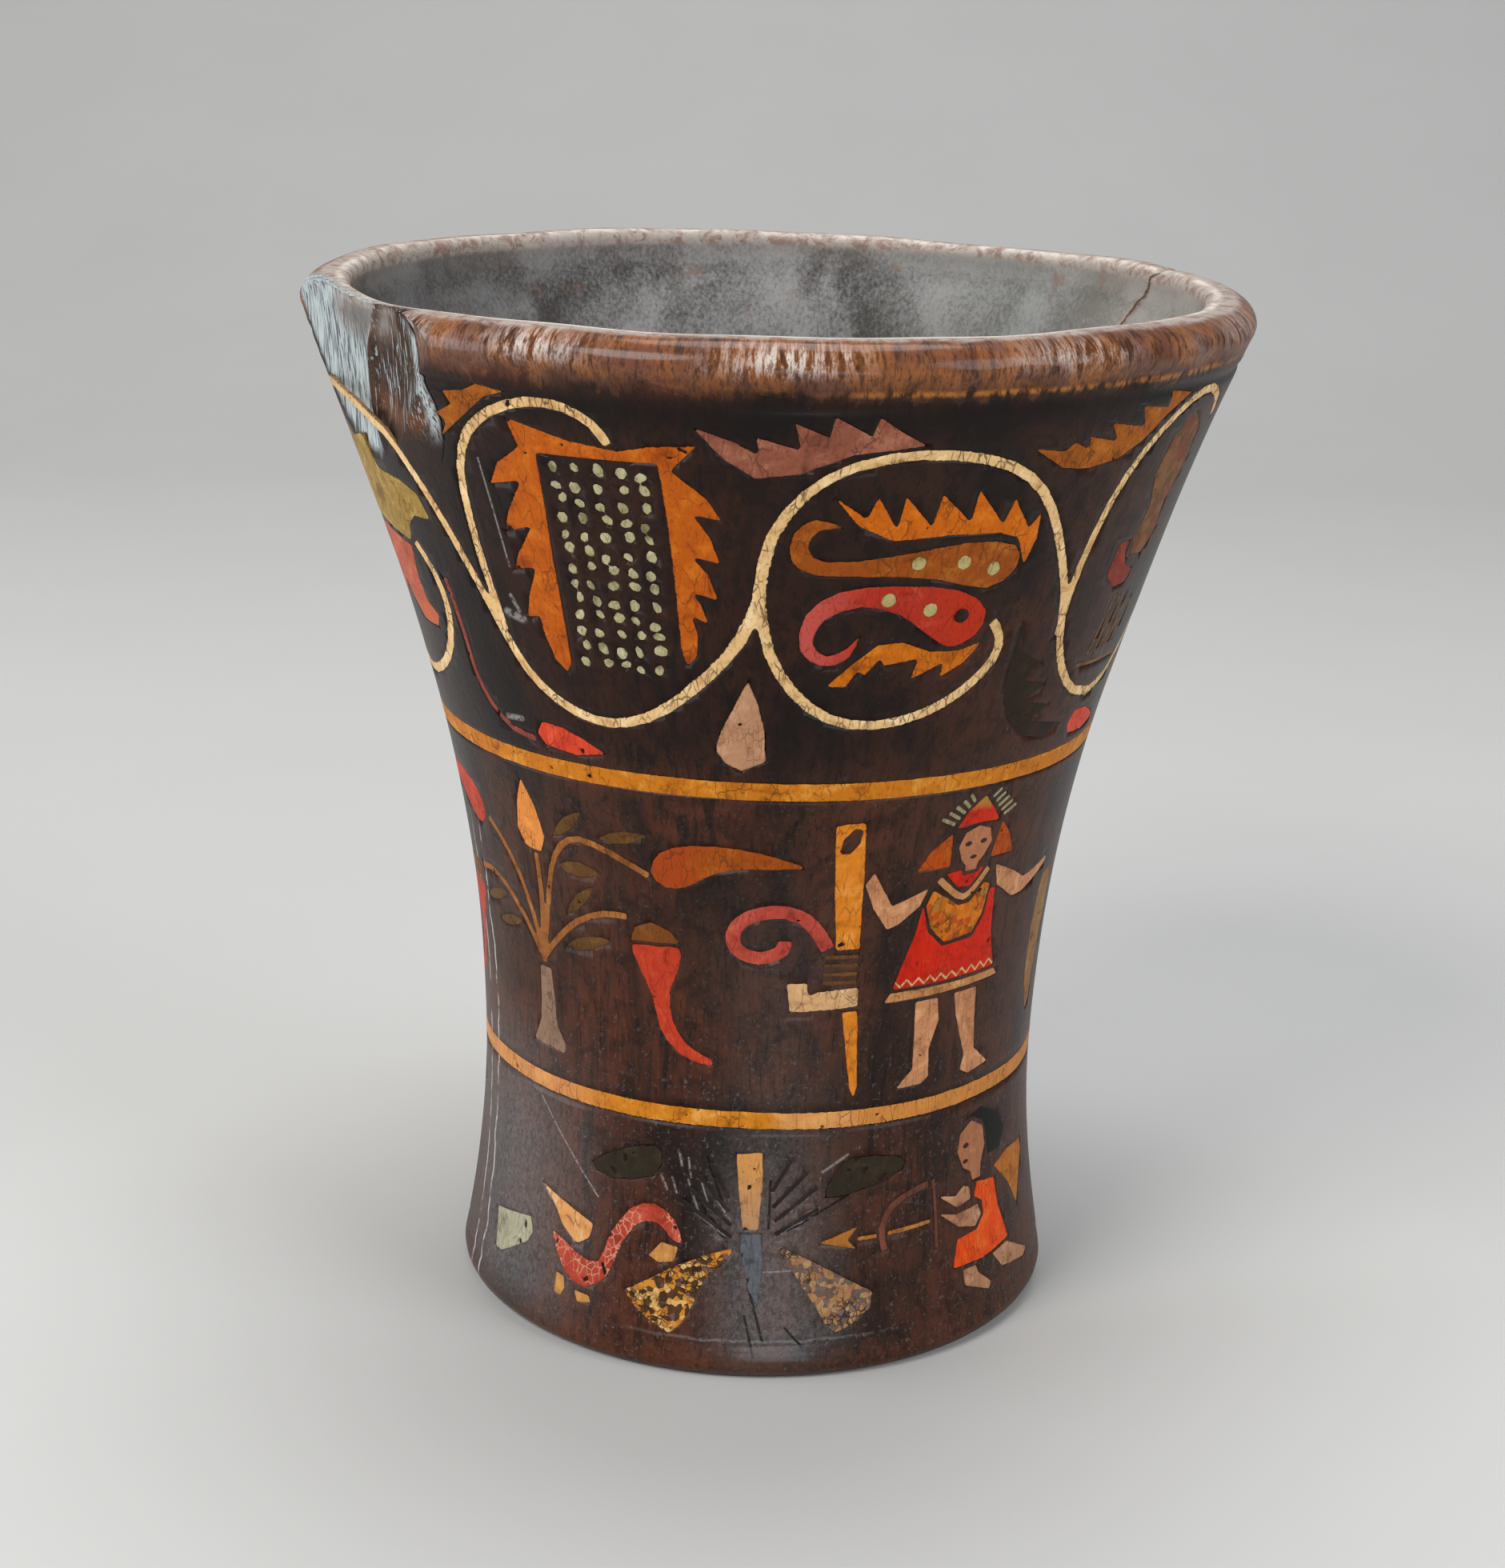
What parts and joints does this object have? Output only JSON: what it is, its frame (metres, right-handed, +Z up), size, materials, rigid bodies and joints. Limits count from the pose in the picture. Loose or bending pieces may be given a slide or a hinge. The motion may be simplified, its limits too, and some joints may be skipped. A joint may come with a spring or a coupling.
{
  "type": "inlaid wooden drinking cup",
  "caption": "Flared wooden drinking cup with a rounded lip and a narrow waist, inlaid all round with coloured resin plants, vines and figures between border stripes.",
  "frame": {"origin": "centre of the underside of the foot, on the surface the cup stands on", "axes": "+Z up along the cup's turning axis; the front of the decoration faces -Y"},
  "size_m": [0.17, 0.17, 0.19],
  "materials": {
    "wood": "dark polished hardwood, worn at the lip",
    "resin_ochre": "pigmented plant resin, scraped flush, satin",
    "resin_cream": "pigmented plant resin, scraped flush, satin",
    "resin_orange": "pigmented plant resin, scraped flush, satin",
    "resin_red": "pigmented plant resin, scraped flush, satin",
    "resin_rose": "pigmented plant resin, scraped flush, satin",
    "resin_olive": "pigmented plant resin, scraped flush, satin",
    "resin_brown": "pigmented plant resin, scraped flush, satin",
    "resin_flesh": "pigmented plant resin, scraped flush, satin",
    "resin_black": "pigmented plant resin, scraped flush, satin"
  },
  "bodies": {
    "root": {"cup_body": "wood", "upper_border": "resin_ochre", "lower_border": "resin_ochre", "vine_scroll": "resin_cream", "panel_frame": "resin_orange", "panel_kernels": "resin_olive", "crest_leaf": "resin_rose", "side_leaves": "resin_ochre", "pepper_crown_leaf": "resin_ochre", "orange_pepper": "resin_orange", "red_pepper": "resin_red", "pepper_seeds": "resin_olive", "pepper_under_leaf": "resin_ochre", "seed_drops": "resin_flesh", "red_buds": "resin_red", "bud_stem": "resin_rose", "flower_calyx": "resin_olive", "flower_petals": "resin_red", "dark_leaf": "resin_brown", "tuft_curl": "resin_red", "tuft_plume": "resin_brown", "tuft_fringe": "resin_brown", "plant_trunk": "resin_brown", "plant_stems": "resin_brown", "plant_bud": "resin_ochre", "plant_leaves": "resin_brown", "orange_chilli": "resin_orange", "red_chilli": "resin_red", "chilli_cap": "resin_brown", "staff": "resin_ochre", "staff_binding": "resin_brown", "staff_hand": "resin_cream", "staff_curl": "resin_rose", "figure_head": "resin_flesh", "figure_cap": "resin_red", "figure_feathers": "resin_olive", "figure_hair": "resin_orange", "figure_dress": "resin_red", "figure_chest": "resin_orange", "figure_trim": "resin_olive", "figure_limbs": "resin_flesh", "face_marks": "resin_black", "paddle": "resin_cream", "creature_body": "resin_red", "creature_beak_and_feet": "resin_ochre", "creature_wing": "resin_ochre", "creature_tail": "resin_olive", "insect_body": "resin_cream", "insect_tail": "resin_black", "insect_wings": "resin_ochre", "insect_rays": "resin_black", "cloud_patches": "resin_brown", "archer_head": "resin_flesh", "archer_hair": "resin_black", "archer_tunic": "resin_red", "archer_limbs": "resin_flesh", "archer_quiver": "resin_ochre", "archer_bow": "resin_brown", "archer_arrow": "resin_ochre"}
  },
  "joints": []
}
